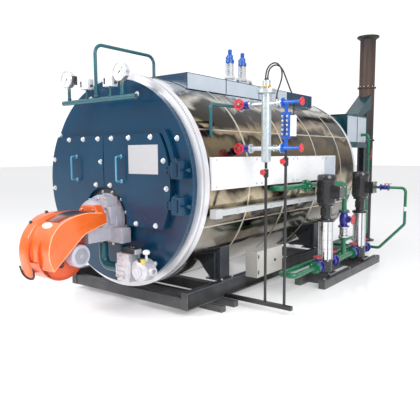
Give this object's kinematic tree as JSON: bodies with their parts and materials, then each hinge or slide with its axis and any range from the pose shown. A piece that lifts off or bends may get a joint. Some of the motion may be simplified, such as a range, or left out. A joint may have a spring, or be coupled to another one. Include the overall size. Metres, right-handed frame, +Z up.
{
  "type": "industrial steam boiler",
  "caption": "Horizontal fire-tube steam boiler set on a steel frame, with gas burner, feed pump skid, level column, economiser and flue stack.",
  "frame": {"origin": "on the floor, under the middle of the whole set's box", "axes": "+Y runs from the burner end to the stack, +X to the right seen from the burner, +Z up"},
  "size_m": [3.004, 6.4309, 3.6],
  "materials": {
    "frame_black": "satin black paint on rolled steel",
    "mirror_cladding": "mirror stainless sheet",
    "trim_bright": "bright rolled strip",
    "boiler_teal": "gloss petrol-blue enamel",
    "pipe_teal": "gloss teal enamel",
    "name_sheet": "bare etched sheet",
    "burner_black": "matt black",
    "burner_casting": "grey die casting",
    "burner_orange": "gloss orange",
    "scroll_orange": "gloss red-orange",
    "gas_aluminium": "bare casting",
    "gauge_steel": "polished case",
    "switch_white": "pale moulding",
    "safety_valve_steel": "bright body, blue cap",
    "column_galvanised": "galvanised tube",
    "valve_blue": "gloss blue enamel",
    "gauge_blue": "gloss blue enamel",
    "wheel_red": "gloss red enamel",
    "cable_black": "black sheath",
    "sensor_white": "white tube",
    "drain_black": "black pipe",
    "sign_white": "white faced sheet",
    "tray_grey": "light grey powder coat",
    "pump_steel": "polished tube",
    "pump_black": "black enamel",
    "pipe_green": "gloss green enamel",
    "economiser_blue": "blue-grey enamel",
    "stack_brown": "heat-proof dark brown"
  },
  "bodies": {
    "boiler": {"burner_flange": "burner_black", "burner_head": "burner_casting", "burner_hood": "burner_orange", "burner_motor": "burner_casting", "cable_tray": "tray_grey", "column_branches": "pipe_teal", "column_cable": "cable_black", "column_valves": "valve_blue", "delivery_pipe": "pipe_green", "drain_pipes": "drain_black", "economiser": "economiser_blue", "economiser_posts": "frame_black", "fan_scroll": "scroll_orange", "feed_branch_pipes": "pipe_green", "feed_valves": "valve_blue", "frame_cross_members": "frame_black", "front_cladding": "mirror_cladding", "front_plate": "boiler_teal", "gas_pipe": "pipe_teal", "gas_valve_train": "gas_aluminium", "gauge_glass": "gauge_blue", "gauge_header": "pipe_teal", "hinge_brackets": "boiler_teal", "junction_box": "tray_grey", "left_door": "boiler_teal", "level_column": "column_galvanised", "level_sensor": "sensor_white", "long_beams": "frame_black", "pressure_gauges": "gauge_steel", "pressure_switches": "switch_white", "pump_bases": "pump_black", "pump_motors": "pump_black", "pump_skid": "frame_black", "pump_stage_tubes": "pump_steel", "rear_plate": "boiler_teal", "riser_bellows": "pump_steel", "saddle_legs": "frame_black", "safety_valves": "safety_valve_steel", "sensor_cable": "cable_black", "shell_cladding": "mirror_cladding", "side_sign_panel": "sign_white", "smokebox_barrel": "boiler_teal", "stack": "stack_brown", "steam_feed_pipe": "pipe_teal", "suction_pipe": "pipe_green", "top_walkway": "boiler_teal", "trim_rings": "trim_bright", "tube_sheet": "boiler_teal"},
    "right_door": {"right_door": "boiler_teal", "right_door_handle": "pipe_teal", "nameplate": "name_sheet"},
    "column_upper_wheel": {"column_upper_wheel": "wheel_red"},
    "column_lower_wheel": {"column_lower_wheel": "wheel_red"},
    "gauge_upper_wheel": {"gauge_upper_wheel": "wheel_red"},
    "gauge_lower_wheel": {"gauge_lower_wheel": "wheel_red"},
    "suction_wheel": {"suction_wheel": "wheel_red"},
    "transfer_wheel": {"transfer_wheel": "wheel_red"},
    "second_pump_wheel": {"second_pump_wheel": "wheel_red"},
    "far_suction_wheel": {"far_suction_wheel": "wheel_red"},
    "riser_valve_wheel": {"riser_valve_wheel": "wheel_red"}
  },
  "joints": [
    {"name": "right_door_hinge", "type": "hinge", "parent": "boiler", "child": "right_door", "pos_m": [0.507, -2.3485, 1.265], "axis": [0, 0, 1], "range_deg": [0, 110]},
    {"name": "column_upper_wheel_spin", "type": "hinge", "parent": "boiler", "child": "column_upper_wheel", "pos_m": [0.752, -1.6805, 2.05], "axis": [0, -1, 0], "continuous": true},
    {"name": "column_lower_wheel_spin", "type": "hinge", "parent": "boiler", "child": "column_lower_wheel", "pos_m": [0.752, -1.6805, 1.625], "axis": [0, -1, 0], "continuous": true},
    {"name": "gauge_upper_wheel_spin", "type": "hinge", "parent": "boiler", "child": "gauge_upper_wheel", "pos_m": [1.364, -1.5685, 2.05], "axis": [1, 0, 0], "continuous": true},
    {"name": "gauge_lower_wheel_spin", "type": "hinge", "parent": "boiler", "child": "gauge_lower_wheel", "pos_m": [1.364, -1.5685, 1.625], "axis": [1, 0, 0], "continuous": true},
    {"name": "suction_wheel_spin", "type": "hinge", "parent": "boiler", "child": "suction_wheel", "pos_m": [1.002, -0.3985, 0.347], "axis": [0, 0, 1], "continuous": true},
    {"name": "transfer_wheel_spin", "type": "hinge", "parent": "boiler", "child": "transfer_wheel", "pos_m": [1.002, 0.0215, 0.347], "axis": [0, 0, 1], "continuous": true},
    {"name": "second_pump_wheel_spin", "type": "hinge", "parent": "boiler", "child": "second_pump_wheel", "pos_m": [1.002, 0.7015, 0.347], "axis": [0, 0, 1], "continuous": true},
    {"name": "far_suction_wheel_spin", "type": "hinge", "parent": "boiler", "child": "far_suction_wheel", "pos_m": [1.002, 1.1215, 0.347], "axis": [0, 0, 1], "continuous": true},
    {"name": "riser_valve_wheel_spin", "type": "hinge", "parent": "boiler", "child": "riser_valve_wheel", "pos_m": [1.114, 0.3615, 0.727], "axis": [1, 0, 0], "continuous": true}
  ]
}
